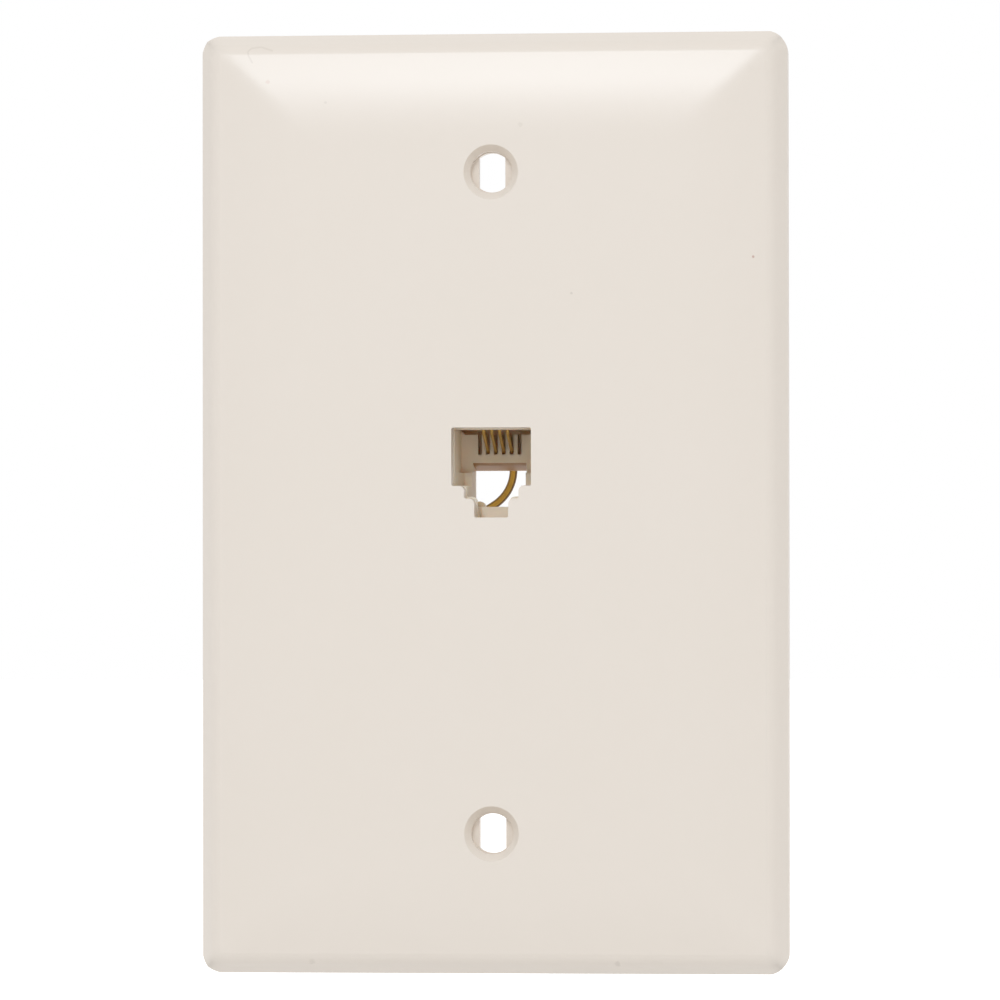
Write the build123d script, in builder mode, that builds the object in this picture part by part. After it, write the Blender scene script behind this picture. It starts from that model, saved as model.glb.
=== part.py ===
from build123d import *
import os
from math import asin, cos, pi, radians, sin, tan

# Flush telephone wall socket: a crowned wall plate with one modular jack behind its keyed opening.
# Millimetres. X runs to the right, Y into the wall and Z up, seen from the room.
# The origin is the middle of the rim that meets the wall, halfway between the two box screws.
# A depth is measured into the wall from the plate's flat front face.

# Wall plate
plate_width = 74.6
plate_height = 119.1
plate_depth = 5.6
plate_wall = 2.2
plate_corner = 3.0
flat_margin = 13.6
crown_width = 10.9
crown_radius = 42.0
edge_round = 2.5
band_slope = 55.0
lip_lean = 0.1
hollow_round = 0.3
rib_thickness = 1.2
rib_height = 2.2
cross_rib_spacing = 56.0
long_rib_spacing = 50.0

# Box screw holes: countersunk recess, then a web with two flats that keep the screw from falling out
screw_spacing = 83.34
screw_rim_radius = 3.435
screw_sink_angle = 82.0
screw_recess_radius = 2.66
screw_recess_depth = 2.0
screw_web = 1.4
screw_arc_radius = 2.5
screw_flats = 3.34
screw_boss_radius = 4.9

# Keyed opening for the plug, as the jack has it
jack_centre = 5.72
plug_width = 9.86
plug_height = 7.06
step_width = 6.7
step_drop = 1.4
latch_width = 4.1
latch_drop = 4.0
key_corner = 0.25
step_shoulder = 0.6
latch_shoulder = 0.7
opening_gap = 0.11
opening_top_gap = 0.2
step_gap = 0.3

# Jack housing
seat_depth = 3.0
housing_depth = 13.0
housing_wall = 1.57
housing_floor = 1.5
housing_top = 12.3
housing_edge = 0.5
cavity_depth = 8.7
lip_thickness = 1.1
channel_width = 6.88
pocket_drop = 2.6
latch_slot_length = 5.4
latch_slot_rake = 0.5
window_front_rise = 3.06
window_knee_rise = 2.76
window_knee_depth = 0.9
window_rear_rise = 2.14
stop_height = 1.78
stop_length = 1.3
stop_width = 0.96
stop_flare = 3.1
peg_radius = 0.65
peg_reach = 1.2
peg_spacing = 5.84
peg_height = -0.24

# Comb and spring contacts
contact_pitch = 1.016
contact_count = 4
comb_count = 6
comb_slot_width = 0.5
comb_slot_depth = 2.0
comb_slot_foot = 6.33
comb_top = 8.87
comb_ear = 0.48
comb_gap_length = 2.6
wire_radius = 0.21
wire_sides = 10
wire_height = 10.93
wire_nose_depth = 7.33
wire_nose_radius = 1.2
wire_rake = 20.0
wire_tip_length = 5.7
wire_row_step = 1.2
wire_bend_radius = 1.0
wire_climb_lead = 0.37
wire_tail = 1.0

# Contact carrier
carrier_shelf = 9.75
carrier_gap = 0.05
carrier_front_depth = 6.6
carrier_rear_inset = 1.4
carrier_side = 0.72
carrier_nose = 0.7
carrier_nose_foot = 0.2
carrier_ridge_setback = 0.9
carrier_ridge_rise = 0.85
carrier_block_length = 2.2
carrier_block_rise = 0.7
carrier_bar = 2.0
rail_width = 0.4
rail_height = 0.7
rail_rise = 0.5
groove_gap = 0.05

# Collar and snap arms on the plate that hold the jack housing
housing_gap = 0.12
collar_wall = 1.2
collar_depth = 6.4
arm_thickness = 1.3
arm_width = 5.0
arm_slot = 0.8
arm_reach = 12.6
hook_depth = 10.5
hook_bite = 0.45
hook_gap = 0.05
notch_depth = 0.62
notch_length = 2.2

# Terminal posts, screws, washers and spade lugs
terminal_across = 34.0
terminal_apart = 30.0
terminal_middle = 5.0
post_setback = 2.2
post_radius = 3.6
post_draft = 3.0
web_thickness = 1.6
web_depth = 8.0
terminal_screw_radius = 1.7
terminal_screw_length = 8.0
screw_tip_bevel = 0.4
terminal_hole_gap = 0.06
screw_head_radius = 3.1
screw_head_height = 1.7
screw_head_bevel = 0.6
screw_slot_width = 0.8
screw_slot_depth = 0.8
screw_turn = 35.0
washer_radius = 3.5
washer_thickness = 0.7
washer_gap = 0.25
lug_thickness = 0.5
lug_radius = 3.1
lug_fork = 3.7
lug_neck = 4.4
lug_barrel_start = 4.2
lug_reach = 7.5
barrel_wall = 0.36
lead_grip = 2.5

# Insulated leads and the sleeves that join them to the contacts
lead_radius = 0.5
lead_sides = 12
lead_core_radius = 0.21
lead_core_length = 0.9
lead_core_tip = 0.6
lead_gap = 0.04
lead_straight = 0.3
lead_dive_share = 0.85
upper_lead_back = 1.8
red_lead_back = 4.7
yellow_lead_back = 2.6
yellow_via_x = 0.85
yellow_via_height = 1.5
yellow_via_radius = 5.3
sleeve_radius = 0.5
sleeve_bore_gap = 0.04
sleeve_length = 2.1
sleeve_gap = 0.1
sleeve_dent = 0.12
sleeve_dent_length = 0.8

# Levels worked out from the sizes above
plug_floor = jack_centre - plug_height / 2
plug_top = jack_centre + plug_height / 2
step_floor = plug_floor - step_drop
latch_floor = plug_floor - latch_drop
pocket_floor = plug_floor - pocket_drop
housing_width = plug_width + 2 * housing_wall
housing_base = latch_floor - housing_floor
housing_middle = (housing_top + housing_base) / 2
housing_rear = seat_depth + housing_depth
post_top = housing_rear - post_setback
carrier_rear_depth = housing_rear - carrier_rear_inset
carrier_block_front = carrier_rear_depth - carrier_block_length
carrier_ridge_front = carrier_front_depth + carrier_ridge_setback
comb_face = seat_depth + cavity_depth
slot_end = seat_depth + latch_slot_length
carrier_width = plug_width + 2 * carrier_side
upper_wire_height = wire_height + wire_row_step
wire_floor = wire_height - wire_radius - groove_gap
upper_wire_floor = wire_floor + wire_row_step
carrier_ridge_top = wire_floor + carrier_ridge_rise
carrier_block_top = upper_wire_floor + carrier_block_rise + 2 * wire_radius
sleeve_front = carrier_rear_depth + sleeve_gap
lead_start = sleeve_front + sleeve_length
barrel_radius = lead_radius + lead_gap + barrel_wall
barrel_depth = post_top + barrel_radius
washer_base = post_top + lug_thickness
head_base = washer_base + washer_thickness


def face_plane(depth):
    """Plane parallel to the wall at this depth, facing the room."""
    return Plane.XZ.offset(plate_depth - depth)


def side_plane(x):
    """Plane across the socket at this x: its own x is depth and its own y is height."""
    return Plane(origin=(x, -plate_depth, 0), x_dir=(0, 1, 0), z_dir=(1, 0, 0))


def at(x, depth, z):
    """Point given by its depth."""
    return Vector(x, depth - plate_depth, z)


def crown_section(plane, span, wall):
    """Section of the crowned plate, or of its hollow where a wall is taken off; the rim is its x axis."""
    slope = asin(crown_width / crown_radius)
    band = radians(band_slope)
    crown = crown_radius - wall
    round_radius = hollow_round if wall else edge_round
    flat = Vector(span / 2 - flat_margin, plate_depth - wall)

    def on_crown(angle):
        return flat + Vector(crown * sin(angle), crown * (cos(angle) - 1))

    knee = on_crown(slope)

    def on_round(angle):
        return knee + Vector(
            round_radius * (sin(angle) - sin(slope)), round_radius * (cos(angle) - cos(slope))
        )

    shoulder = on_round(band)
    if wall:
        foot = Vector(shoulder.X + shoulder.Y / tan(band), 0)
        base = Vector(foot.X, -plate_wall)
    else:
        foot_x = span / 2 - lip_lean
        foot = Vector(foot_x, shoulder.Y - (foot_x - shoulder.X) * tan(band))
        base = Vector(span / 2, 0)
    with BuildSketch(plane) as section:
        with BuildLine():
            Line((0, base.Y), base)
            Line(base, foot)
            Line(foot, shoulder)
            ThreePointArc(shoulder, on_round((slope + band) / 2), knee)
            ThreePointArc(knee, on_crown(slope / 2), flat)
            Line(flat, (0, flat.Y))
            mirror(about=Plane.YZ)
        make_face()
    return section.sketch


def keyed_opening(plane, gap, top_gap, drop_gap):
    """Plug opening seen from the front: main rectangle, first step down and latch slot."""
    half = plug_width / 2 + gap
    step = step_width / 2 + gap
    latch = latch_width / 2 + gap
    top = plug_top + top_gap
    floor = plug_floor - gap
    shoulder = step_floor - drop_gap
    foot = latch_floor - gap
    right = [(half, top), (half, floor), (step, floor), (step, shoulder), (latch, shoulder), (latch, foot)]
    left = [(-x, z) for x, z in reversed(right)]
    rounds = [key_corner, key_corner, step_shoulder, key_corner, latch_shoulder, key_corner]
    with BuildSketch(plane) as opening:
        with BuildLine():
            FilletPolyline(*right, *left, radius=rounds + rounds[::-1], close=True)
        make_face()
    return opening.sketch


# Hollow behind the plate, kept clear of the ribs, the screw bosses and the pad around the opening
long_plane = Plane(origin=(0, 0, 0), x_dir=(0, 0, 1), z_dir=(1, 0, 0))
cross_plane = Plane(origin=(0, 0, 0), x_dir=(1, 0, 0), z_dir=(0, 0, -1))
pad_side = housing_width / 2 + housing_gap + collar_wall
pad_top = housing_top + housing_gap + collar_wall
pad_base = housing_base - housing_gap - collar_wall
arm_inner = housing_width / 2 + housing_gap
rib_depth = plate_wall + rib_height
boss_depth = screw_recess_depth + screw_web

with BuildPart() as plate_hollow:
    extrude(crown_section(long_plane, plate_height, plate_wall), amount=plate_width / 2, both=True)
    extrude(
        crown_section(cross_plane, plate_width, plate_wall),
        amount=plate_height / 2,
        both=True,
        mode=Mode.INTERSECT,
    )
    with BuildSketch(face_plane(rib_depth)):
        with GridLocations(0, cross_rib_spacing, 1, 2):
            Rectangle(plate_width, rib_thickness)
        with GridLocations(long_rib_spacing, 0, 2, 1):
            Rectangle(rib_thickness, plate_height)
    extrude(amount=rib_depth, mode=Mode.SUBTRACT)
    with BuildSketch(face_plane(boss_depth)):
        with GridLocations(0, screw_spacing, 1, 2):
            Circle(screw_boss_radius)
    extrude(amount=boss_depth, mode=Mode.SUBTRACT)
    with BuildSketch(face_plane(seat_depth)):
        with Locations((0, (pad_top + pad_base) / 2)):
            Rectangle(2 * pad_side, pad_top - pad_base)
    extrude(amount=seat_depth, mode=Mode.SUBTRACT)

# Plate: two crowned sections crossed, so that the crowns meet on mitres at the corners
with BuildPart() as wall_plate:
    extrude(crown_section(long_plane, plate_height, 0), amount=plate_width / 2, both=True)
    extrude(
        crown_section(cross_plane, plate_width, 0),
        amount=plate_height / 2,
        both=True,
        mode=Mode.INTERSECT,
    )
    with BuildSketch(Plane.XZ):
        RectangleRounded(plate_width, plate_height, plate_corner)
    extrude(amount=plate_depth, mode=Mode.INTERSECT)
    add(plate_hollow.part, mode=Mode.SUBTRACT)

    # Collar that the housing slides into, open at the sides where the snap arms flex
    with BuildSketch(face_plane(seat_depth)):
        with Locations((0, (pad_top + pad_base) / 2)):
            Rectangle(2 * pad_side, pad_top - pad_base)
        with Locations((0, housing_middle)):
            Rectangle(
                housing_width + 2 * housing_gap,
                housing_top - housing_base + 2 * housing_gap,
                mode=Mode.SUBTRACT,
            )
            Rectangle(2 * pad_side, arm_width + 2 * arm_slot, mode=Mode.SUBTRACT)
    extrude(amount=-(collar_depth - seat_depth))

    # Snap arms with hooks that face each other and slope towards their tips
    for side in (-1, 1):
        with BuildSketch(Plane.XY.offset(housing_middle - arm_width / 2)):
            with BuildLine():
                Polyline(
                    at(side * (arm_inner + arm_thickness), plate_wall - 0.5, 0),
                    at(side * (arm_inner + arm_thickness), arm_reach, 0),
                    at(side * (arm_inner + arm_thickness / 3), arm_reach, 0),
                    at(side * (arm_inner - hook_bite), hook_depth + hook_bite + hook_gap, 0),
                    at(side * (arm_inner - hook_bite), hook_depth + hook_gap, 0),
                    at(side * arm_inner, hook_depth + hook_gap, 0),
                    at(side * arm_inner, plate_wall - 0.5, 0),
                    close=True,
                )
            make_face()
        extrude(amount=arm_width)

    # Terminal posts, tapered from the plate, with a web between each upper and lower post
    with BuildSketch(face_plane(post_top)):
        with Locations((0, terminal_middle)):
            with GridLocations(terminal_across, terminal_apart, 2, 2):
                Circle(post_radius)
    extrude(amount=post_top - plate_wall + 0.5, taper=-post_draft)
    with BuildSketch(face_plane(web_depth)):
        with Locations((0, terminal_middle)):
            with GridLocations(terminal_across, 0, 2, 1):
                Rectangle(web_thickness, terminal_apart)
    extrude(amount=web_depth - plate_wall + 0.5)
    with Locations(face_plane(post_top).rotated((180, 0, 0))):
        with Locations((0, -terminal_middle)):
            with GridLocations(terminal_across, terminal_apart, 2, 2):
                Hole(terminal_screw_radius + terminal_hole_gap, depth=terminal_screw_length)

    # Box screw holes from the front
    with Locations(face_plane(0)):
        with GridLocations(0, screw_spacing, 1, 2):
            CounterSinkHole(
                screw_recess_radius,
                screw_rim_radius,
                depth=screw_recess_depth,
                counter_sink_angle=screw_sink_angle,
            )
    with BuildSketch(face_plane(screw_recess_depth)):
        with GridLocations(0, screw_spacing, 1, 2):
            Circle(screw_arc_radius)
        Rectangle(screw_flats, plate_height, mode=Mode.INTERSECT)
    extrude(amount=-screw_web, mode=Mode.SUBTRACT)

    # Keyed opening in front of the jack
    front_opening = keyed_opening(face_plane(0), opening_gap, opening_top_gap, step_gap)
    extrude(front_opening, amount=-seat_depth, mode=Mode.SUBTRACT)
wall_plate.part.label = "wall_plate"

# Jack housing: plug cavity, latch way through to the rear, comb and shelf for the carrier
contact_x = [contact_pitch * (i - (contact_count - 1) / 2) for i in range(contact_count)]
comb_x = [contact_pitch * (i - (comb_count - 1) / 2) for i in range(comb_count)]

with BuildPart() as jack_housing:
    with BuildSketch(face_plane(seat_depth)):
        with Locations((0, housing_middle)):
            RectangleRounded(housing_width, housing_top - housing_base, housing_edge)
    extrude(amount=-housing_depth)

    # Plug opening in the front lip and the cavity behind it
    extrude(keyed_opening(face_plane(seat_depth), 0, 0, 0), amount=-lip_thickness, mode=Mode.SUBTRACT)
    with BuildSketch(face_plane(seat_depth)):
        with Locations((0, jack_centre)):
            Rectangle(plug_width, plug_height)
    extrude(amount=-cavity_depth, mode=Mode.SUBTRACT)

    # Way behind the lip for the plug's latch, open at the rear under a sloping ceiling
    with BuildSketch(side_plane(0)):
        with BuildLine():
            Polyline(
                (seat_depth + lip_thickness, pocket_floor),
                (housing_rear, pocket_floor),
                (housing_rear, plug_floor + window_rear_rise),
                (comb_face + window_knee_depth, plug_floor + window_knee_rise),
                (comb_face, plug_floor + window_front_rise),
                (seat_depth + lip_thickness, plug_floor + window_front_rise),
                close=True,
            )
        make_face()
    extrude(amount=channel_width / 2, both=True, mode=Mode.SUBTRACT)
    with BuildSketch(side_plane(0)):
        with BuildLine():
            Polyline(
                (seat_depth, latch_floor),
                (slot_end - latch_slot_rake, latch_floor),
                (slot_end, pocket_floor),
                (seat_depth, pocket_floor),
                close=True,
            )
        make_face()
    extrude(amount=latch_width / 2, both=True, mode=Mode.SUBTRACT)

    # Stops at the foot of the comb wall, each side of the latch way, that run out along the side walls
    for side in (-1, 1):
        stop_front = comb_face - stop_length
        stop_outer = side * (channel_width / 2 + stop_width)
        with BuildSketch(Plane.XY.offset(plug_floor)):
            with BuildLine():
                Polyline(
                    at(side * channel_width / 2, comb_face, 0),
                    at(side * channel_width / 2, stop_front, 0),
                    at(stop_outer, stop_front, 0),
                    at(side * plug_width / 2, stop_front - stop_flare, 0),
                    at(side * plug_width / 2, comb_face, 0),
                    close=True,
                )
            make_face()
        extrude(amount=stop_height)

    # Comb slots, and the gap over the comb with its small corner ears
    with BuildSketch(face_plane(comb_face)):
        with Locations([(x, (comb_slot_foot + carrier_shelf) / 2) for x in comb_x]):
            Rectangle(comb_slot_width, carrier_shelf - comb_slot_foot)
    extrude(amount=-comb_slot_depth, mode=Mode.SUBTRACT)
    with BuildSketch(face_plane(comb_face)):
        with BuildLine():
            Polyline(
                (-plug_width / 2, carrier_shelf),
                (-plug_width / 2, comb_top + comb_ear),
                (comb_ear - plug_width / 2, comb_top),
                (plug_width / 2 - comb_ear, comb_top),
                (plug_width / 2, comb_top + comb_ear),
                (plug_width / 2, carrier_shelf),
                close=True,
            )
        make_face()
    extrude(amount=-comb_gap_length, mode=Mode.SUBTRACT)

    # Open bay on top for the contact carrier, with a rail groove in each side
    with BuildSketch(face_plane(seat_depth + carrier_bar)):
        with Locations((0, (carrier_shelf + housing_top) / 2)):
            Rectangle(carrier_width, housing_top - carrier_shelf)
    extrude(amount=-(housing_depth - carrier_bar), mode=Mode.SUBTRACT)
    with BuildSketch(face_plane(seat_depth + carrier_bar)):
        with Locations((0, (plug_top + carrier_shelf) / 2)):
            Rectangle(plug_width, carrier_shelf - plug_top)
    extrude(amount=-(cavity_depth - carrier_bar), mode=Mode.SUBTRACT)
    with BuildSketch(face_plane(carrier_front_depth)):
        with Locations((0, carrier_shelf + rail_rise + rail_height / 2)):
            Rectangle(carrier_width + 2 * rail_width, rail_height)
    extrude(amount=-(housing_rear - carrier_front_depth), mode=Mode.SUBTRACT)

    # Notches that the hooks of the snap arms drop into
    with BuildSketch(face_plane(hook_depth)):
        with Locations((0, housing_middle)):
            with GridLocations(housing_width, 0, 2, 1):
                Rectangle(2 * notch_depth, arm_width + 2 * arm_slot)
    extrude(amount=-notch_length, mode=Mode.SUBTRACT)

    # Round pegs at the rear that keep the leads away from the latch way
    with BuildSketch(face_plane(housing_rear - peg_radius)):
        with Locations((0, peg_height)):
            with GridLocations(peg_spacing, 0, 2, 1):
                Circle(peg_radius)
    extrude(amount=-(peg_reach + peg_radius))
jack_housing.part.label = "jack_housing"

# Contact carrier: rounded nose that the wires bend over, ridges between them and a raised rear block
with BuildPart() as contact_carrier:
    half_carrier = carrier_width / 2 - carrier_gap
    carrier_base = carrier_shelf
    with BuildSketch(side_plane(0)):
        with BuildLine():
            FilletPolyline(
                (carrier_front_depth, carrier_base),
                (carrier_front_depth, wire_floor),
                (carrier_rear_depth, wire_floor),
                (carrier_rear_depth, carrier_base),
                radius=[carrier_nose_foot, carrier_nose, 0, 0],
                close=True,
            )
        make_face()
    extrude(amount=half_carrier, both=True)
    with BuildSketch(side_plane(0)):
        with BuildLine():
            Polyline(
                (carrier_ridge_front, wire_floor),
                (carrier_ridge_front, carrier_ridge_top),
                (carrier_block_front - wire_row_step, carrier_ridge_top),
                (carrier_block_front, carrier_block_top),
                (carrier_rear_depth, carrier_block_top),
                (carrier_rear_depth, wire_floor),
                close=True,
            )
        make_face()
    extrude(amount=half_carrier, both=True)
    with BuildSketch(face_plane(carrier_ridge_front)):
        with Locations((0, carrier_shelf + rail_rise + rail_height / 2)):
            Rectangle(carrier_width + 2 * (rail_width - carrier_gap), rail_height - 2 * carrier_gap)
    extrude(amount=-(carrier_rear_depth - carrier_ridge_front))

    # One groove for each wire; every second wire climbs to the upper row
    for i, x in enumerate(contact_x):
        climb = carrier_block_front - wire_row_step + 0.75
        top = carrier_block_top
        if i % 2:
            floor = [(carrier_rear_depth, wire_floor)]
        else:
            floor = [
                (climb, wire_floor),
                (climb + wire_row_step, upper_wire_floor),
                (carrier_rear_depth, upper_wire_floor),
            ]
        with BuildSketch(side_plane(x)):
            with BuildLine():
                Polyline(
                    (carrier_ridge_front, wire_floor),
                    *floor,
                    (carrier_rear_depth, top),
                    (carrier_ridge_front, top),
                    close=True,
                )
            make_face()
        extrude(amount=wire_radius + groove_gap, both=True, mode=Mode.SUBTRACT)
contact_carrier.part.label = "contact_carrier"


def rod(points, radii, radius, sides):
    """Wire along straight runs joined by arcs that meet them smoothly, and the area of its section.
    The section has many sides in place of a circle, so that small wires stay light."""
    with BuildPart() as body:
        with BuildLine():
            FilletPolyline(*points, radius=radii)
        with BuildSketch(Plane(origin=points[0], z_dir=points[1] - points[0])) as section:
            RegularPolygon(radius, sides)
        sweep()
    return body.part, section.sketch.area


def stub(start, end, radius):
    """Straight round piece from one point to another."""
    with BuildPart() as body:
        with BuildSketch(Plane(origin=start, z_dir=end - start)):
            Circle(radius)
        extrude(amount=(end - start).length)
    return body.part


def spring_contact(x, upper):
    """Round wire: straight along the carrier, bent round its nose and raked back into the comb."""
    rake = radians(wire_rake)
    reach = wire_nose_radius * tan((pi - rake) / 2)
    corner = at(x, wire_nose_depth - reach, wire_height)
    tip = corner + Vector(0, cos(rake), -sin(rake)) * (reach + wire_tip_length)
    tail_height = upper_wire_height if upper else wire_height
    points = [at(x, sleeve_front + wire_tail, tail_height)]
    radii = []
    if upper:
        climb = carrier_block_front - wire_row_step + wire_climb_lead
        points += [at(x, climb + wire_row_step, upper_wire_height), at(x, climb, wire_height)]
        radii += [wire_bend_radius, wire_bend_radius]
    wire, area = rod(points + [corner, tip], radii + [wire_nose_radius], wire_radius, wire_sides)
    return wire


def sleeve(x, z):
    """Short tube pressed flat a little on two sides where it grips the wire and the lead."""
    with BuildPart() as tube:
        with BuildSketch(face_plane(sleeve_front)):
            with Locations((x, z)):
                Circle(sleeve_radius)
                Circle(wire_radius + sleeve_bore_gap, mode=Mode.SUBTRACT)
        extrude(amount=-sleeve_length)
        with BuildSketch(face_plane(sleeve_front + (sleeve_length - sleeve_dent_length) / 2)):
            with Locations((x, z)):
                with GridLocations(0, 2 * sleeve_radius, 1, 2):
                    Rectangle(2 * sleeve_radius, 2 * sleeve_dent)
        extrude(amount=-sleeve_dent_length, mode=Mode.SUBTRACT)
    return tube.part


def lead_route(x, z, terminal, back, via, via_radius):
    """Corners and arc radii of a lead from its sleeve to the barrel of its lug, and its last heading."""
    corners = [at(x, lead_start, z), at(x, lead_start + back, z)]
    radii = [back - lead_straight]
    if via:
        corners.append(at(via[0], lead_start + back, via[1]))
        radii.append(via_radius)
    home = at(terminal[0], lead_start + back, terminal[1])
    heading = (home - corners[-1]).normalized()
    drop = lead_start + back - barrel_depth
    bend = lead_dive_share * drop
    dive_end = lug_reach + lead_straight + bend * tan(pi / 8)
    into_wall = Vector(0, 1, 0)
    corners.append(home - heading * (dive_end + drop))
    corners.append(home - heading * dive_end - into_wall * drop)
    corners.append(home - heading * (lug_reach - lead_grip) - into_wall * drop)
    return corners, radii + [bend, bend], heading


def path_length(corners, radii):
    """Length of straight runs joined by arcs that cut each corner short."""
    total = sum((b - a).length for a, b in zip(corners, corners[1:]))
    for before, corner, after, radius in zip(corners, corners[1:], corners[2:], radii):
        turn = radians((corner - before).get_angle(after - corner))
        total -= radius * (2 * tan(turn / 2) - turn)
    return total


def spade_lug(terminal, heading):
    """Fork under the screw head, with a round barrel that takes the end of the lead."""
    seat = Plane(origin=at(terminal[0], post_top, terminal[1]), x_dir=-heading, z_dir=(0, 1, 0))
    axis = Plane(
        origin=seat.from_local_coords((lug_barrel_start, 0, barrel_radius)), z_dir=seat.x_dir
    )
    with BuildPart() as lug:
        with BuildSketch(seat):
            Circle(lug_radius)
            with Locations((lug_barrel_start / 2, 0)):
                Rectangle(lug_barrel_start + 0.4, lug_neck)
            Circle(lug_fork / 2, mode=Mode.SUBTRACT)
            with Locations((-lug_radius / 2, 0)):
                Rectangle(lug_radius + 0.2, lug_fork, mode=Mode.SUBTRACT)
        extrude(amount=lug_thickness)
        with BuildSketch(axis):
            Circle(barrel_radius)
        extrude(amount=lug_reach - lug_barrel_start)
        with BuildSketch(axis.offset(-1)):
            Circle(lead_radius + lead_gap)
        extrude(amount=lug_reach - lug_barrel_start + 2, mode=Mode.SUBTRACT)
    return lug.part


def terminal_washer(terminal):
    """Flat ring on top of the lug."""
    with BuildPart() as washer:
        with BuildSketch(Plane(origin=at(terminal[0], washer_base, terminal[1]), z_dir=(0, 1, 0))):
            Circle(washer_radius)
            Circle(terminal_screw_radius + washer_gap, mode=Mode.SUBTRACT)
        extrude(amount=washer_thickness)
    return washer.part


def terminal_screw(terminal, turn):
    """Slotted screw with a bevelled rim, its slot left at some angle."""
    seat = Plane(
        origin=at(terminal[0], head_base, terminal[1]),
        x_dir=(cos(radians(turn)), 0, sin(radians(turn))),
        z_dir=(0, 1, 0),
    )
    with BuildPart() as screw:
        with BuildSketch(seat):
            Circle(screw_head_radius)
        extrude(amount=screw_head_height)
        rim = screw.edges().filter_by(GeomType.CIRCLE).sort_by(Axis.Y)[-1]
        chamfer(rim, screw_head_bevel)
        with BuildSketch(seat.offset(screw_head_height)):
            Rectangle(2 * screw_head_radius, screw_slot_width)
        extrude(amount=-screw_slot_depth, mode=Mode.SUBTRACT)
        with BuildSketch(seat):
            Circle(terminal_screw_radius)
        extrude(amount=-terminal_screw_length)
        tip = screw.edges().filter_by(GeomType.CIRCLE).sort_by(Axis.Y)[0]
        chamfer(tip, screw_tip_bevel)
    return screw.part


# The four lines, from the left as seen from the room: outer pair to the left and right posts
yellow_via = (yellow_via_x, yellow_via_height)
lines = {
    "black": {"upper": True, "side": -1, "level": 1, "back": upper_lead_back, "via": None},
    "red": {"upper": False, "side": 1, "level": -1, "back": red_lead_back, "via": None},
    "green": {"upper": True, "side": 1, "level": 1, "back": upper_lead_back, "via": None},
    "yellow": {"upper": False, "side": -1, "level": -1, "back": yellow_lead_back, "via": yellow_via},
}

os.makedirs("parts", exist_ok=True)
pieces = {
    "wall_plate": wall_plate.part,
    "jack_housing": jack_housing.part,
    "contact_carrier": contact_carrier.part,
}
for order, (name, line) in enumerate(lines.items()):
    x = contact_x[order]
    z = upper_wire_height if line["upper"] else wire_height
    terminal = (
        line["side"] * terminal_across / 2,
        terminal_middle + line["level"] * terminal_apart / 2,
    )
    corners, radii, heading = lead_route(x, z, terminal, line["back"], line["via"], yellow_via_radius)
    insulation, area = rod(corners, radii, lead_radius, lead_sides)
    last = corners[-1]
    with BuildPart() as lead:
        add(insulation)
        add(stub(corners[0], corners[0] - Vector(0, lead_core_length, 0), lead_core_radius))
        add(stub(last, last + heading * lead_core_tip, lead_core_radius))
    pieces["contact_" + name] = spring_contact(x, line["upper"])
    pieces["crimp_" + name] = sleeve(x, z)
    pieces["lead_" + name] = lead.part
    pieces["lug_" + name] = spade_lug(terminal, heading)
    pieces["terminal_washer_" + name] = terminal_washer(terminal)
    pieces["terminal_screw_" + name] = terminal_screw(terminal, screw_turn * (order + 1))
    print("lead", name, "radii", [round(r, 2) for r in radii])
    print("  path", round(path_length(corners, radii), 2), "mm")
    print("  volume over section", round(insulation.volume / area, 2), "mm")

for name, piece in pieces.items():
    piece.label = name
    export_step(piece, "parts/" + name + ".step")
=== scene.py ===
# %% [markdown]
# # A flush telephone wall socket
# This lesson dresses a finished solid model of a telephone wall socket for a product picture. The
# model already has every piece in its place: an ivory wall plate, the jack behind its keyed
# opening, four gilt spring contacts, their leads, and the screw terminals at the back. What is left
# is what a solid model doesn't have: a camera, light, surfaces, and the marks that handling leaves.

# %% Load the solid model
import bpy
import bmesh
from math import cos, pi, radians, sin
from mathutils import Matrix, Vector


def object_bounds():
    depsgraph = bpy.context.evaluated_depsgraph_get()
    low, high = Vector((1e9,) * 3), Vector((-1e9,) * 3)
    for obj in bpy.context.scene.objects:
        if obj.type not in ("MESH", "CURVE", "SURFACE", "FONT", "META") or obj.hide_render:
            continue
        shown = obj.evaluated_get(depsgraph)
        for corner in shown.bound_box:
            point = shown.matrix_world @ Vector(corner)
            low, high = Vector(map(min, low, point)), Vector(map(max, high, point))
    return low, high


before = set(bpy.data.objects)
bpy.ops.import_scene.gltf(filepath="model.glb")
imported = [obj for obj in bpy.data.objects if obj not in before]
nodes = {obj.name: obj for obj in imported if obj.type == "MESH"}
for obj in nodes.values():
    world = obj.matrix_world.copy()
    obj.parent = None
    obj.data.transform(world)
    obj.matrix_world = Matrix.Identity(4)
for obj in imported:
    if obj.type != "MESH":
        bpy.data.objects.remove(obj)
at_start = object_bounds()
overall = [round(v * 1000, 1) for v in at_start[1] - at_start[0]]
print(len(nodes), "pieces, overall size", overall, "mm")

# %% [markdown]
# ## Measures
# The drawing's sizes are in millimetres and Blender's are in metres, so every size below is written
# in millimetres and multiplied by `MM` once. The plate's front face is 5.6 mm in front of the wall.

# %% Measures of the plate
MM = 0.001
PLATE_DEPTH = 5.6
PLATE_WIDTH = 74.6
PLATE_HEIGHT = 119.1
names = ["black", "red", "green", "yellow"]
print("plate", PLATE_WIDTH, "x", PLATE_HEIGHT, "mm")

# %% [markdown]
# ## Colours
# A colour picked from a photograph is an sRGB value. Shaders reckon in linear light, so one
# function turns a hex colour into linear values, and every colour in this lesson goes through it.

# %% From sRGB to linear
def colour(code):
    """Linear RGBA of an sRGB hex colour such as "e7ded5"."""
    parts = [int(code[i : i + 2], 16) / 255 for i in (0, 2, 4)]
    return [c / 12.92 if c <= 0.04045 else ((c + 0.055) / 1.055) ** 2.4 for c in parts] + [1.0]


print("mid grey in linear light", [round(c, 3) for c in colour("808080")[:3]])

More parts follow.
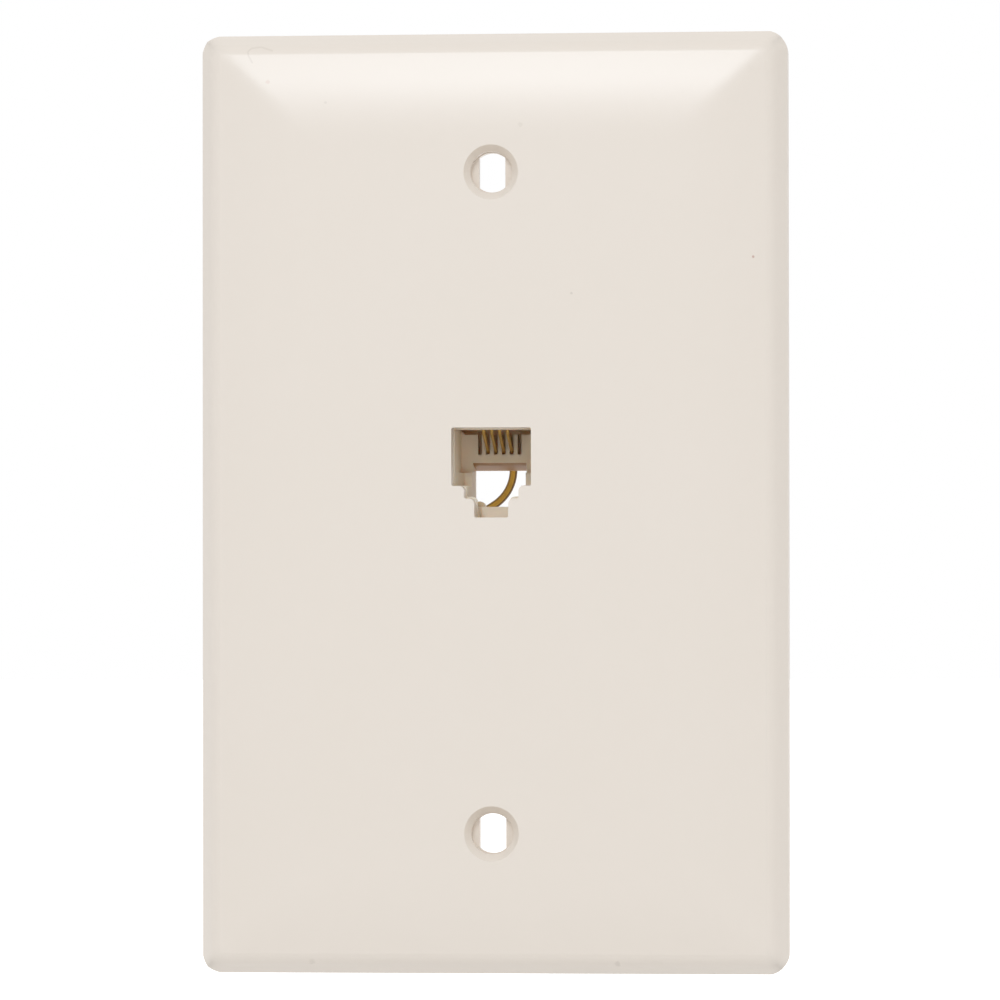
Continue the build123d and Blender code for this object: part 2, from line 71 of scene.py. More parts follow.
# %% [markdown]
# ## Small helpers for node materials
# Each material is a little tree of nodes. `add_node` makes one node, sets its settings and fills its
# sockets, either with a value or with a link from another node. `surface` starts a material with a
# Principled shader that is joined to the output, and hands back the tree and the shader. `wear`
# puts the material on a piece.

# %% Helpers
def add_node(tree, kind, inputs=None, **settings):
    """Adds a node; inputs maps a socket's name or number to a value or to another node's output."""
    made = tree.nodes.new(kind)
    for key, value in settings.items():
        setattr(made, key, value)
    for key, value in (inputs or {}).items():
        if isinstance(value, bpy.types.NodeSocket):
            tree.links.new(value, made.inputs[key])
        else:
            made.inputs[key].default_value = value
    return made


def surface(name, **sockets):
    """A new material with one Principled shader whose constants are set straight on its sockets."""
    material = bpy.data.materials.new(name)
    material.use_nodes = True
    tree = material.node_tree
    tree.nodes.clear()
    inputs = {key.replace("_", " "): value for key, value in sockets.items()}
    shader = add_node(tree, "ShaderNodeBsdfPrincipled", inputs)
    add_node(tree, "ShaderNodeOutputMaterial", {"Surface": shader.outputs[0]})
    return material, tree, shader


def wear(material, *pieces):
    """Gives the pieces this material alone."""
    for piece in pieces:
        piece.data.materials.clear()
        piece.data.materials.append(material)


print("helpers ready")

# %% [markdown]
# ## The camera
# The photograph was taken with a long lens, almost straight on: the right edge of the plate is a
# little taller than the left one, so the camera stood a few degrees to the right, and it looked up
# by one degree. Where the walls of the jack run to a point gives both angles, and how fast they
# close gives the distance, 790 mm. A lens of about 226 mm then fills the square picture.

# %% Camera
AZIMUTH = 5.4
ELEVATION = -1.08
DISTANCE = 790
LENS = 225.98
SENSOR_WIDTH = 36
NEAREST, FARTHEST = 50, 20000
AIM = Vector((1.13, -PLATE_DEPTH, 0.295)) * MM
ROLL = 0.0715

turn, rise = radians(AZIMUTH), radians(ELEVATION)
back = Vector((sin(turn) * cos(rise), -cos(turn) * cos(rise), sin(rise)))
camera_data = bpy.data.cameras.new("camera")
camera_data.lens = LENS
camera_data.sensor_width = SENSOR_WIDTH
camera_data.clip_start = NEAREST * MM
camera_data.clip_end = FARTHEST * MM
camera = bpy.data.objects.new("camera", camera_data)
bpy.context.scene.collection.objects.link(camera)
turned = (-back).to_track_quat("-Z", "Y").to_matrix() @ Matrix.Rotation(radians(-ROLL), 3, "Z")
camera.matrix_world = Matrix.Translation(AIM + back * DISTANCE * MM) @ turned.to_4x4()
bpy.context.scene.camera = camera
bpy.context.scene.view_settings.view_transform = "Standard"
print("camera at", [round(v * 1000) for v in camera.location], "mm")

# %% [markdown]
# ## The plate: moulded ABS
# The plate is injection moulded ABS, a tough opaque plastic, and its mould was polished to a satin.
# To the eye that gives a broad soft highlight, and a tone so even that a flat colour would nearly
# do. Two slight patterns keep it from looking painted: a tone that drifts over some 17 mm by less
# than the eye can name, and a grain of 0.3 mm that the mould leaves. The real grain is finer, about
# 0.05 mm, which is under half a pixel here, so it is drawn as coarse as it needs to be to show.

# %% Tone and grain of the plate
DRIFT_SIZE = 17.0
GRAIN_SIZE = 0.3
plate_material, tree, shader = surface("moulded_abs_ivory", Roughness=0.33, IOR=1.54)
place = add_node(tree, "ShaderNodeTexCoord")
drift = add_node(
    tree,
    "ShaderNodeTexNoise",
    {"Vector": place.outputs["Object"], "Scale": 1 / (DRIFT_SIZE * MM), "Detail": 3.0},
)
tone = add_node(
    tree,
    "ShaderNodeMix",
    {"Factor": drift.outputs["Fac"], "A": colour("eae0d4"), "B": colour("ebe1d6")},
    data_type="RGBA",
)
grain = add_node(
    tree,
    "ShaderNodeTexNoise",
    {"Vector": place.outputs["Object"], "Scale": 1 / (GRAIN_SIZE * MM), "Detail": 2.0},
)
print("grain of", GRAIN_SIZE, "mm on a drift of", DRIFT_SIZE, "mm")

# %% [markdown]
# ## Mitres
# At each corner the two crowns meet on a mitre, which is never quite sharp on the real plate: the
# mould maker has rubbed it down. A bevel would do it, but the solid model's mesh is left alone, so
# the shading normal is turned instead, from one crown's to the other's, over a strip a few
# millimetres wide. Both crowns lean by the same amount at the same distance from their edge, so the
# lean is kept and only its direction changes, from sideways to upright.
#
# The first step finds how far a point is across the mitre, which runs where the distance to the side
# edge and to the top or bottom edge are the same.

# %% Distance across the mitre
SOFT_MITRE = 2.6
MITRE_OFFSET = (PLATE_WIDTH - PLATE_HEIGHT) / 2
apart = add_node(tree, "ShaderNodeSeparateXYZ", {0: place.outputs["Object"]})
reach_x = add_node(tree, "ShaderNodeMath", {0: apart.outputs["X"]}, operation="ABSOLUTE")
reach_z = add_node(tree, "ShaderNodeMath", {0: apart.outputs["Z"]}, operation="ABSOLUTE")
across = add_node(
    tree, "ShaderNodeMath", {0: reach_x.outputs[0], 1: reach_z.outputs[0]}, operation="SUBTRACT"
)
sideways = add_node(
    tree,
    "ShaderNodeMapRange",
    {
        "Value": across.outputs[0],
        "From Min": (MITRE_OFFSET - SOFT_MITRE) * MM,
        "From Max": (MITRE_OFFSET + SOFT_MITRE) * MM,
    },
    interpolation_type="SMOOTHSTEP",
)
upright = add_node(tree, "ShaderNodeMath", {0: 1.0, 1: sideways.outputs[0]}, operation="SUBTRACT")
print("mitres rubbed over", 2 * SOFT_MITRE, "mm")

# %% [markdown]
# The lean is the length of the part of the normal that lies in the wall's plane. It is shared out
# between sideways and upright, with the signs of the corner that the point is in.

# %% The normal's lean, shared out
shape = add_node(tree, "ShaderNodeNewGeometry")
facing = add_node(tree, "ShaderNodeSeparateXYZ", {0: shape.outputs["Normal"]})
in_plane = add_node(
    tree, "ShaderNodeCombineXYZ", {"X": facing.outputs["X"], "Z": facing.outputs["Z"]}
)
lean = add_node(tree, "ShaderNodeVectorMath", {0: in_plane.outputs[0]}, operation="LENGTH")
shares = {}
for axis, share in (("X", sideways), ("Z", upright)):
    sign = add_node(tree, "ShaderNodeMath", {0: apart.outputs[axis]}, operation="SIGN")
    amount = add_node(
        tree, "ShaderNodeMath", {0: lean.outputs["Value"], 1: share.outputs[0]}, operation="MULTIPLY"
    )
    signed = add_node(
        tree, "ShaderNodeMath", {0: amount.outputs[0], 1: sign.outputs[0]}, operation="MULTIPLY"
    )
    shares[axis] = signed.outputs[0]
rubbed = add_node(
    tree, "ShaderNodeCombineXYZ", {"X": shares["X"], "Y": facing.outputs["Y"], "Z": shares["Z"]}
)
print("lean shared between", " and ".join(shares))

# %% [markdown]
# The turned normal is used only near the corners, and only on the front, where the normal's Y is
# below nought. There the grain is added to it as a bump, and everywhere else the grain sits on the
# mesh's own normal.

# %% Corners only, and the grain on top
CORNER_X, CORNER_Z = 22.0, 44.5
FRONT_FROM = -0.02
GRAIN_STRENGTH, GRAIN_LIFT = 0.1, 0.02
near_x = add_node(
    tree, "ShaderNodeMath", {0: reach_x.outputs[0], 1: CORNER_X * MM}, operation="GREATER_THAN"
)
near_z = add_node(
    tree, "ShaderNodeMath", {0: reach_z.outputs[0], 1: CORNER_Z * MM}, operation="GREATER_THAN"
)
front = add_node(
    tree, "ShaderNodeMath", {0: facing.outputs["Y"], 1: FRONT_FROM}, operation="LESS_THAN"
)
corner = add_node(
    tree, "ShaderNodeMath", {0: near_x.outputs[0], 1: near_z.outputs[0]}, operation="MULTIPLY"
)
corner = add_node(
    tree, "ShaderNodeMath", {0: corner.outputs[0], 1: front.outputs[0]}, operation="MULTIPLY"
)
turned_normal = add_node(
    tree,
    "ShaderNodeMix",
    {"Factor": corner.outputs[0], "A": shape.outputs["Normal"], "B": rubbed.outputs[0]},
    data_type="VECTOR",
)
soft_normal = add_node(
    tree, "ShaderNodeVectorMath", {0: turned_normal.outputs["Result"]}, operation="NORMALIZE"
)
bump = add_node(
    tree,
    "ShaderNodeBump",
    {
        "Height": grain.outputs["Fac"],
        "Strength": GRAIN_STRENGTH,
        "Distance": GRAIN_LIFT * MM,
        "Normal": soft_normal.outputs[0],
    },
)
tree.links.new(bump.outputs["Normal"], shader.inputs["Normal"])
print("corners start at", CORNER_X, "and", CORNER_Z, "mm")

# %% [markdown]
# ## Marks of handling
# A plate that has hung on a wall isn't spotless. Each mark is a small blot at a measured place on
# the face: its distance from that place, bent a little by noise, picks how much of its colour
# shows. The noise adds about half a radius, so a blot starts some 1.1 radii from its place and is
# full at some 0.6. The marks are all faint, and all sit on the front face, so `lay_over` mixes a
# mark's colour over what lies under it on the front alone.

# %% A mark over what lies under it
def lay_over(under, cover, code):
    """Mixes a colour over another one where cover is above 0, on the front of the plate only."""
    cover = add_node(
        tree, "ShaderNodeMath", {0: cover, 1: front.outputs[0]}, operation="MULTIPLY"
    )
    mixed = add_node(
        tree,
        "ShaderNodeMix",
        {"Factor": cover.outputs[0], "A": under, "B": colour(code)},
        data_type="RGBA",
    )
    return mixed.outputs["Result"]


print("marks can be laid on the front")

# %% Blots
MARKS = [
    # x, z, radius in mm, colour, strength
    (33.0, 30.8, 0.18, "b06a58", 0.55),
    (10.2, 26.3, 0.18, "8f8478", 0.2),
    (-28.4, 53.3, 0.3, "c99c8a", 0.2),
    (-21.0, 50.6, 0.2, "a3968a", 0.16),
    (-23.0, -57.95, 0.4, "a89c8e", 0.16),
    (15.7, -58.1, 0.4, "a89c8e", 0.2),
    (3.75, 47.6, 0.35, "c9beb0", 0.22),
]
BLOT_NOISE = 0.38
BLOT_OUTER, BLOT_INNER = 1.6, 1.1
fine = add_node(
    tree,
    "ShaderNodeTexNoise",
    {"Vector": place.outputs["Object"], "Scale": 1 / (BLOT_NOISE * MM), "Detail": 2.0},
)
shown = tone.outputs["Result"]
flat_place = add_node(
    tree, "ShaderNodeCombineXYZ", {"X": apart.outputs["X"], "Z": apart.outputs["Z"]}
)
for x, z, radius, code, strength in MARKS:
    gap = add_node(
        tree,
        "ShaderNodeVectorMath",
        {0: flat_place.outputs[0], 1: (x * MM, 0, z * MM)},
        operation="DISTANCE",
    )
    bent = add_node(
        tree,
        "ShaderNodeMath",
        {0: fine.outputs["Fac"], 1: radius * MM, 2: gap.outputs["Value"]},
        operation="MULTIPLY_ADD",
    )
    cover = add_node(
        tree,
        "ShaderNodeMapRange",
        {
            "Value": bent.outputs[0],
            "From Min": radius * BLOT_OUTER * MM,
            "From Max": radius * BLOT_INNER * MM,
            "To Max": strength,
        },
    )
    shown = lay_over(shown, cover.outputs[0], code)
print(len(MARKS), "blots on the face")

# %% [markdown]
# A hair, 0.1 mm wide, lies in a hook near the top left corner. It is a chain of short straight
# pieces, and how far a point is from the nearest one picks how much of the hair shows there: most
# within 0.03 mm, and nothing past 0.17 mm. For each piece, the point's foot on it is found by a dot
# product that is held between 0 and 1.

# %% A hair
HAIR = [
    # x, z in mm
    (-30.45, 55.83),
    (-30.95, 56.7),
    (-31.05, 57.25),
    (-30.6, 57.7),
    (-29.4, 57.85),
    (-27.95, 57.35),
]
HAIR_OUTER, HAIR_INNER, HAIR_STRENGTH = 0.17, 0.03, 0.16
nearest = None
for (x0, z0), (x1, z1) in zip(HAIR, HAIR[1:]):
    step = Vector((x1 - x0, 0, z1 - z0)) * MM
    from_start = add_node(
        tree,
        "ShaderNodeVectorMath",
        {0: flat_place.outputs[0], 1: (x0 * MM, 0, z0 * MM)},
        operation="SUBTRACT",
    )
    along = add_node(
        tree,
        "ShaderNodeVectorMath",
        {0: from_start.outputs[0], 1: step / step.length_squared},
        operation="DOT_PRODUCT",
    )
    along = add_node(tree, "ShaderNodeClamp", {"Value": along.outputs["Value"]})
    foot = add_node(
        tree,
        "ShaderNodeVectorMath",
        {0: step, "Scale": along.outputs[0]},
        operation="SCALE",
    )
    gap = add_node(
        tree,
        "ShaderNodeVectorMath",
        {0: from_start.outputs[0], 1: foot.outputs[0]},
        operation="DISTANCE",
    )
    if nearest is None:
        nearest = gap.outputs["Value"]
    else:
        nearest = add_node(
            tree, "ShaderNodeMath", {0: nearest, 1: gap.outputs["Value"]}, operation="MINIMUM"
        ).outputs[0]
cover = add_node(
    tree,
    "ShaderNodeMapRange",
    {
        "Value": nearest,
        "From Min": HAIR_OUTER * MM,
        "From Max": HAIR_INNER * MM,
        "To Max": HAIR_STRENGTH,
    },
)
shown = lay_over(shown, cover.outputs[0], "a79a8b")
print("a hair of", len(HAIR) - 1, "pieces")

# %% [markdown]
# The upper flank of each countersink, which faces down, gets a painted brown shade. The height
# above or below the middle is made positive first, so that one distance serves both holes. With that
# the plate's colour is complete.

# %% Painted shade in the countersinks
HOLE_HEIGHT, HOLE_RADIUS = 41.67, 3.5
SHADE_FROM, SHADE_FULL, SHADE_STRENGTH = 0.45, -0.7, 0.27
mirrored = add_node(
    tree, "ShaderNodeCombineXYZ", {"X": apart.outputs["X"], "Z": reach_z.outputs[0]}
)
gap = add_node(
    tree,
    "ShaderNodeVectorMath",
    {0: mirrored.outputs[0], 1: (0, 0, HOLE_HEIGHT * MM)},
    operation="DISTANCE",
)
inside = add_node(
    tree, "ShaderNodeMath", {0: gap.outputs["Value"], 1: HOLE_RADIUS * MM}, operation="LESS_THAN"
)
# Painted shade: the downward-facing upper flank of each countersink is painted browner.
painted_shade = add_node(
    tree,
    "ShaderNodeMapRange",
    {
        "Value": facing.outputs["Z"],
        "From Min": SHADE_FROM,
        "From Max": SHADE_FULL,
        "To Max": SHADE_STRENGTH,
    },
)
cover = add_node(
    tree, "ShaderNodeMath", {0: inside.outputs[0], 1: painted_shade.outputs[0]}, operation="MULTIPLY"
)
shown = lay_over(shown, cover.outputs[0], "b39a78")
tree.links.new(shown, shader.inputs["Base Color"])
wear(plate_material, nodes["wall_plate"])
print("plate wears", plate_material.name)

# %% [markdown]
# ## The jack: moulded polycarbonate
# The housing is moulded polycarbonate, which is a shade warmer than the plate and a little
# translucent, so light goes a short way in before it comes out again. Light that has bounced far
# into an ivory cavity turns brown by itself. Shade is painted into the colour as well: narrow places
# such as the comb's slots get a painted brown shade, and the undersides get a painted darker shade.
# The `AmbientOcclusion` node finds the narrow places: it gives 1 in the open and falls towards 0
# where walls stand close. The plastic's own tone drifts over some 4 mm.

# %% Housing: tone and painted shade in narrow places
HOUSING_DRIFT = 4.0
NARROW_REACH = 1.6
OPEN, SHUT, SHUT_SHADE = 0.55, 0.15, 0.8
jack_material, tree, shader = surface(
    "moulded_polycarbonate_ivory",
    Roughness=0.45,
    IOR=1.5,
    Specular_IOR_Level=0.15,
    Subsurface_Weight=0.5,
    Subsurface_Radius=(1.0, 0.75, 0.55),
    Subsurface_Scale=1.5 * MM,
)
place = add_node(tree, "ShaderNodeTexCoord")
drift = add_node(
    tree,
    "ShaderNodeTexNoise",
    {"Vector": place.outputs["Object"], "Scale": 1 / (HOUSING_DRIFT * MM), "Detail": 3.0},
)
tone = add_node(
    tree,
    "ShaderNodeMix",
    {"Factor": drift.outputs["Fac"], "A": colour("f7ebd9"), "B": colour("f5e7d3")},
    data_type="RGBA",
)
# Painted shade: narrow places, found by ambient occlusion, are painted browner.
narrow = add_node(tree, "ShaderNodeAmbientOcclusion", {"Distance": NARROW_REACH * MM}, samples=8)
narrow_shade = add_node(
    tree,
    "ShaderNodeMapRange",
    {"Value": narrow.outputs["AO"], "From Min": OPEN, "From Max": SHUT, "To Max": SHUT_SHADE},
)
shaded = add_node(
    tree,
    "ShaderNodeMix",
    {"Factor": narrow_shade.outputs[0], "A": tone.outputs["Result"], "B": colour("e6c9a0")},
    data_type="RGBA",
)
print("housing yellowed in places narrower than", NARROW_REACH, "mm")

# %% [markdown]
# The undersides, which get a painted darker shade, are found by the upright part of the normal,
# which is near -1 there. A grain of 0.15 mm, as coarse as it has to be to show, roughens the walls.

# %% Housing: painted shade on undersides, and grain
HOUSING_GRAIN = 0.15
HOUSING_STRENGTH, HOUSING_LIFT = 0.1, 0.01
UNDER_FROM, UNDER_FULL, UNDER_SHADE = -0.6, -0.85, 0.9
turned = add_node(tree, "ShaderNodeSeparateXYZ", {0: place.outputs["Normal"]})
# Painted shade: surfaces that face down are painted darker.
underside = add_node(
    tree,
    "ShaderNodeMapRange",
    {
        "Value": turned.outputs["Z"],
        "From Min": UNDER_FROM,
        "From Max": UNDER_FULL,
        "To Max": UNDER_SHADE,
    },
)
tint = add_node(
    tree,
    "ShaderNodeMix",
    {"Factor": underside.outputs[0], "A": shaded.outputs["Result"], "B": colour("a8763a")},
    data_type="RGBA",
)
tree.links.new(tint.outputs["Result"], shader.inputs["Base Color"])
grain = add_node(
    tree,
    "ShaderNodeTexNoise",
    {"Vector": place.outputs["Object"], "Scale": 1 / (HOUSING_GRAIN * MM), "Detail": 2.0},
)
bump = add_node(
    tree,
    "ShaderNodeBump",
    {
        "Height": grain.outputs["Fac"],
        "Strength": HOUSING_STRENGTH,
        "Distance": HOUSING_LIFT * MM,
    },
)
tree.links.new(bump.outputs["Normal"], shader.inputs["Normal"])
wear(jack_material, nodes["jack_housing"])
print("housing wears", jack_material.name)

# %% [markdown]
# ## One recipe for the small pieces
# The pieces behind the plate are a few millimetres long. Each of their surfaces is the same idea
# with other numbers: a pattern of a real size picks between two near tones and between two
# roughnesses, and lifts the surface by a hundredth of a millimetre or less. `finish` joins a pattern
# to a shader in those three ways, so that the cells below only say what differs. Noise seldom
# leaves the range from 0.3 to 0.7, so the roughness runs over that range.

# %% Pattern to tone, roughness and bump
NOISE_LOW, NOISE_HIGH = 0.3, 0.7
FINISH_STRENGTH = 0.2


def finish(tree, shader, pattern, tones, roughness, lift):
    """Joins a 0 to 1 pattern to tone, roughness and bump; lift is in millimetres."""
    tone = add_node(
        tree, "ShaderNodeMix", {"Factor": pattern, "A": tones[0], "B": tones[1]}, data_type="RGBA"
    )
    polish = add_node(
        tree,
        "ShaderNodeMapRange",
        {
            "Value": pattern,
            "From Min": NOISE_LOW,
            "From Max": NOISE_HIGH,
            "To Min": roughness[0],
            "To Max": roughness[1],
        },
    )
    bump = add_node(
        tree,
        "ShaderNodeBump",
        {"Height": pattern, "Strength": FINISH_STRENGTH, "Distance": lift * MM},
    )
    tree.links.new(tone.outputs["Result"], shader.inputs["Base Color"])
    tree.links.new(polish.outputs[0], shader.inputs["Roughness"])
    tree.links.new(bump.outputs["Normal"], shader.inputs["Normal"])


print("finish ready")

# %% [markdown]
# ## The carrier: moulded nylon
# The block that the contacts are bent over is moulded nylon, which is duller and yellower than the
# housing. Nylon cools unevenly, which shows as a mottle of about 0.8 mm.

# %% Carrier
MOTTLE_SIZE = 0.8
carrier_material, tree, shader = surface("moulded_nylon_natural", IOR=1.53)
place = add_node(tree, "ShaderNodeTexCoord")
mottle = add_node(
    tree,
    "ShaderNodeTexNoise",
    {"Vector": place.outputs["Object"], "Scale": 1 / (MOTTLE_SIZE * MM), "Detail": 4.0},
)
tones = (colour("e5d3b3"), colour("dfcba9"))
finish(tree, shader, mottle.outputs["Fac"], tones, roughness=(0.46, 0.54), lift=0.01)
wear(carrier_material, nodes["contact_carrier"])
print("carrier wears", carrier_material.name)

# %% [markdown]
# ## Contacts: gold plated spring wire
# The contacts are phosphor bronze wire with a flash of gold. The plating is thin and worn, so it
# is duller than solid gold and browner in places. Plating grows in nodules far too fine to see, so
# they are drawn 0.12 mm wide.

# %% Contacts
NODULE_SIZE = 0.12
gilt_material, tree, shader = surface("gold_plated_bronze_wire", Metallic=1.0)
place = add_node(tree, "ShaderNodeTexCoord")
nodules = add_node(
    tree,
    "ShaderNodeTexNoise",
    {"Vector": place.outputs["Object"], "Scale": 1 / (NODULE_SIZE * MM), "Detail": 2.0},
)
tones = (colour("ccae6c"), colour("c0a260"))
finish(tree, shader, nodules.outputs["Fac"], tones, roughness=(0.56, 0.64), lift=0.003)
for name in names:
    wear(gilt_material, nodes["contact_" + name])
print("contacts wear", gilt_material.name)

# %% [markdown]
# ## Screws and washers: turned brass
# Terminal screws and washers are turned on a lathe, and the tool leaves rings round their axis.
# Every ring of a real one is about 0.05 mm wide; here they are 0.2 mm, so that they show. The four
# axes stand 34 mm apart sideways and 30 mm apart in height, about a point 5 mm above the middle.
# With both distances made positive, all four fall on the same place, and the distance from it,
# run through a sine, draws the rings.

# %% Turned brass
RING_PITCH = 0.2
TERMINAL_X, TERMINAL_Z, TERMINAL_MIDDLE = 17.0, 15.0, 5.0
turned_material, tree, shader = surface("turned_brass", Metallic=1.0)
place = add_node(tree, "ShaderNodeTexCoord")
apart = add_node(tree, "ShaderNodeSeparateXYZ", {0: place.outputs["Object"]})
reach_x = add_node(tree, "ShaderNodeMath", {0: apart.outputs["X"]}, operation="ABSOLUTE")
height = add_node(
    tree, "ShaderNodeMath", {0: apart.outputs["Z"], 1: TERMINAL_MIDDLE * MM}, operation="SUBTRACT"
)
reach_z = add_node(tree, "ShaderNodeMath", {0: height.outputs[0]}, operation="ABSOLUTE")
folded = add_node(tree, "ShaderNodeCombineXYZ", {"X": reach_x.outputs[0], "Z": reach_z.outputs[0]})
radius = add_node(
    tree,
    "ShaderNodeVectorMath",
    {0: folded.outputs[0], 1: (TERMINAL_X * MM, 0, TERMINAL_Z * MM)},
    operation="DISTANCE",
)
turns = add_node(
    tree,
    "ShaderNodeMath",
    {0: radius.outputs["Value"], 1: 2 * pi / (RING_PITCH * MM)},
    operation="MULTIPLY",
)
wave = add_node(tree, "ShaderNodeMath", {0: turns.outputs[0]}, operation="SINE")
rings = add_node(tree, "ShaderNodeMapRange", {"Value": wave.outputs[0], "From Min": -1.0})
tones = (colour("dcbf82"), colour("d5b675"))
finish(tree, shader, rings.outputs[0], tones, roughness=(0.27, 0.34), lift=0.004)
for name in names:
    wear(turned_material, nodes["terminal_washer_" + name], nodes["terminal_screw_" + name])
print("screws and washers wear", turned_material.name)

# %% [markdown]
# ## Sleeves: drawn brass
# The sleeves that join contacts to leads are cut from drawn tube and squeezed. They aren't polished,
# and handling has tarnished them in patches of about 0.5 mm.

# %% Sleeves
TARNISH_SIZE = 0.5
sleeve_material, tree, shader = surface("drawn_brass_tube", Metallic=1.0)
place = add_node(tree, "ShaderNodeTexCoord")
patches = add_node(
    tree,
    "ShaderNodeTexNoise",
    {"Vector": place.outputs["Object"], "Scale": 1 / (TARNISH_SIZE * MM), "Detail": 3.0},
)
tones = (colour("d9bb7c"), colour("c6a566"))
finish(tree, shader, patches.outputs["Fac"], tones, roughness=(0.3, 0.42), lift=0.004)
for name in names:
    wear(sleeve_material, nodes["crimp_" + name])
print("sleeves wear", sleeve_material.name)

# %% [markdown]
# ## Lugs: tin plated copper
# The spade lugs are stamped from copper sheet and tinned. Tin freezes in soft grey patches, here
# 0.6 mm across, some duller than others.

# %% Lugs
TIN_PATCH_SIZE = 0.6
tin_material, tree, shader = surface("tin_plated_copper", Metallic=1.0)
place = add_node(tree, "ShaderNodeTexCoord")
frozen = add_node(
    tree,
    "ShaderNodeTexNoise",
    {"Vector": place.outputs["Object"], "Scale": 1 / (TIN_PATCH_SIZE * MM), "Detail": 3.0},
)
tones = (colour("cecdc9"), colour("c1c0bc"))
finish(tree, shader, frozen.outputs["Fac"], tones, roughness=(0.32, 0.46), lift=0.004)
for name in names:
    wear(tin_material, nodes["lug_" + name])
print("lugs wear", tin_material.name)

# %% [markdown]
# ## Leads: extruded PVC
# Each lead has its own colour of insulation, the way the four lines of a house are told apart. PVC
# comes off the extruder smooth, with faint ripples of about 0.5 mm that hold a trace of dust. Shade
# is painted into the colour: where a lead faces front or back it has its lit colour, and its flanks
# between get a painted darker shade, so the direction of the surface picks between two colours
# first.

# %% Leads
INSULATION = {
    # lit colour, painted shade colour
    "black": ("242321", "141312"),
    "red": ("ad2a24", "7d1512"),
    "green": ("2a7a46", "17512b"),
    "yellow": ("ddb04a", "6f4f1b"),
}
SHADED_FLANK, LIT_FACE = 0.6, 1.0
DUST = 0.04
RIPPLE_SIZE = 0.5
for name in names:
    lead_material, tree, shader = surface("extruded_pvc_" + name, IOR=1.35)
    place = add_node(tree, "ShaderNodeTexCoord")
    faces = add_node(tree, "ShaderNodeSeparateXYZ", {0: place.outputs["Normal"]})
    front_or_back = add_node(tree, "ShaderNodeMath", {0: faces.outputs["Y"]}, operation="ABSOLUTE")
    # Painted shade: flanks that face neither front nor back get the darker colour.
    lit_share = add_node(
        tree,
        "ShaderNodeMapRange",
        {"Value": front_or_back.outputs[0], "From Min": SHADED_FLANK, "From Max": LIT_FACE},
        interpolation_type="SMOOTHSTEP",
    )
    lit_colour, shade_colour = INSULATION[name]
    shaded_skin = add_node(
        tree,
        "ShaderNodeMix",
        {"Factor": lit_share.outputs[0], "A": colour(shade_colour), "B": colour(lit_colour)},
        data_type="RGBA",
    )
    dusty = add_node(
        tree,
        "ShaderNodeMix",
        {"Factor": DUST, "A": shaded_skin.outputs["Result"], "B": colour("b8ab98")},
        data_type="RGBA",
    )
    ripples = add_node(
        tree,
        "ShaderNodeTexNoise",
        {"Vector": place.outputs["Object"], "Scale": 1 / (RIPPLE_SIZE * MM), "Detail": 2.0},
    )
    tones = (shaded_skin.outputs["Result"], dusty.outputs["Result"])
    finish(tree, shader, ripples.outputs["Fac"], tones, roughness=(0.38, 0.46), lift=0.01)
    wear(lead_material, nodes["lead_" + name])
print(len(INSULATION), "leads dressed")

# %% [markdown]
# ## A white ground
# The picture has a pure white ground. Floor and room are only made white for rays that come from the
# camera, or by way of something shiny or clear, so that the object itself isn't lit any more by it.
# `seen` gives 1 for those rays and 0 for all others.

# %% Rays that see the ground
def seen(tree):
    """1 for rays from the camera, off something shiny or through something clear."""
    path = add_node(tree, "ShaderNodeLightPath")
    either = path.outputs["Is Camera Ray"]
    for ray in ("Is Glossy Ray", "Is Transmission Ray"):
        either = add_node(
            tree, "ShaderNodeMath", {0: either, 1: path.outputs[ray]}, operation="MAXIMUM"
        ).outputs[0]
    return either


print("ground can be made white")

# %% [markdown]
# ## Floor
# The floor is a pale sheet 22 mm under the plate. A glow for the rays above makes up its own colour
# to white, and the plate still throws its shadow on it.

# %% Floor
FLOOR_DROP = 22
FLOOR_HALF = 6000
FLOOR_GLOW = 0.8
WHITE = (1, 1, 1, 1)
floor_level = -PLATE_HEIGHT / 2 - FLOOR_DROP
mesh = bpy.data.meshes.new("floor")
sheet = bmesh.new()
bmesh.ops.create_grid(sheet, x_segments=1, y_segments=1, size=FLOOR_HALF * MM)
sheet.to_mesh(mesh)
sheet.free()
floor = bpy.data.objects.new("floor", mesh)
bpy.context.scene.collection.objects.link(floor)
floor.location = (0, 0, floor_level * MM)
floor_material, tree, shader = surface(
    "pale_floor", Base_Color=colour("f0f0f0"), Roughness=0.9, Emission_Color=WHITE
)
glow = add_node(tree, "ShaderNodeMath", {0: seen(tree), 1: FLOOR_GLOW}, operation="MULTIPLY")
tree.links.new(glow.outputs[0], shader.inputs["Emission Strength"])
wear(floor_material, floor)
print("floor at", floor_level, "mm")

# %% [markdown]
# ## The room
# The room itself gives an even light. It is weaker from behind, so that the openings of the jack
# keep their depth, and a little stronger from the right. For the rays that see the ground it is
# plain white.

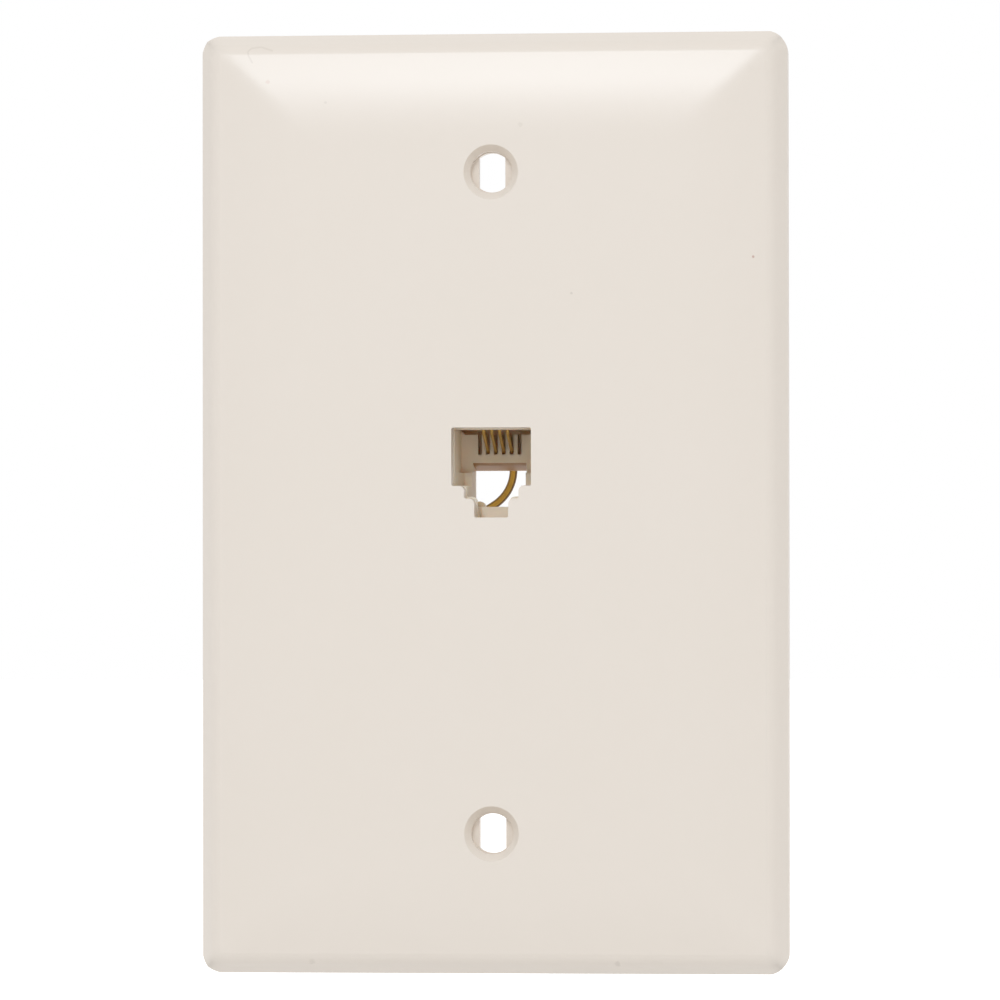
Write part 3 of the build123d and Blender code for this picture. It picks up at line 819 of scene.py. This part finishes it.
# %% World
ROOM_LIGHT, BACK_LIGHT, RIGHT_EXTRA = 0.745, 0.12, 0.09
BACK_FROM, BACK_FULL = 0.4, 0.9
world = bpy.data.worlds.new("studio")
bpy.context.scene.world = world
world.use_nodes = True
tree = world.node_tree
tree.nodes.clear()
heading = add_node(tree, "ShaderNodeTexCoord")
toward = add_node(tree, "ShaderNodeSeparateXYZ", {0: heading.outputs["Generated"]})
level = add_node(
    tree,
    "ShaderNodeMapRange",
    {
        "Value": toward.outputs["Y"],
        "From Min": BACK_FROM,
        "From Max": BACK_FULL,
        "To Min": ROOM_LIGHT,
        "To Max": BACK_LIGHT,
    },
)
right = add_node(tree, "ShaderNodeMath", {0: toward.outputs["X"], 1: 0.0}, operation="MAXIMUM")
level = add_node(
    tree,
    "ShaderNodeMath",
    {0: right.outputs[0], 1: RIGHT_EXTRA, 2: level.outputs[0]},
    operation="MULTIPLY_ADD",
)
soft = add_node(tree, "ShaderNodeBackground", {"Color": WHITE, "Strength": level.outputs[0]})
white = add_node(tree, "ShaderNodeBackground", {"Color": WHITE, "Strength": 1.0})
ground = add_node(
    tree, "ShaderNodeMixShader", {0: seen(tree), 1: soft.outputs[0], 2: white.outputs[0]}
)
add_node(tree, "ShaderNodeOutputWorld", {"Surface": ground.outputs[0]})
print("world", world.name)

# %% [markdown]
# ## Lamps
# A soft lamp hangs above and in front, a little to the left, and gives the bright band on the top
# crown. It is a touch cooler than white, so that the band looks neutral on warm plastic. A weak one
# lifts the back.

# %% Lamps
def lamp(name, where, size, power, tint):
    """A square soft lamp, turned to the origin; place and size in millimetres, power in watts."""
    data = bpy.data.lights.new(name, "AREA")
    data.shape = "SQUARE"
    data.size = size * MM
    data.energy = power
    data.color = tint
    made = bpy.data.objects.new(name, data)
    bpy.context.scene.collection.objects.link(made)
    made.location = Vector(where) * MM
    made.rotation_euler = (Vector() - Vector(where)).to_track_quat("-Z", "Y").to_euler()
    print(name, "lamp,", power, "W")


lamp("key", where=(-60, -700, 430), size=200, power=1.48, tint=(0.93, 1.0, 1.08))
lamp("behind", where=(0, 700, 500), size=500, power=0.7, tint=(1.0, 1.0, 1.0))
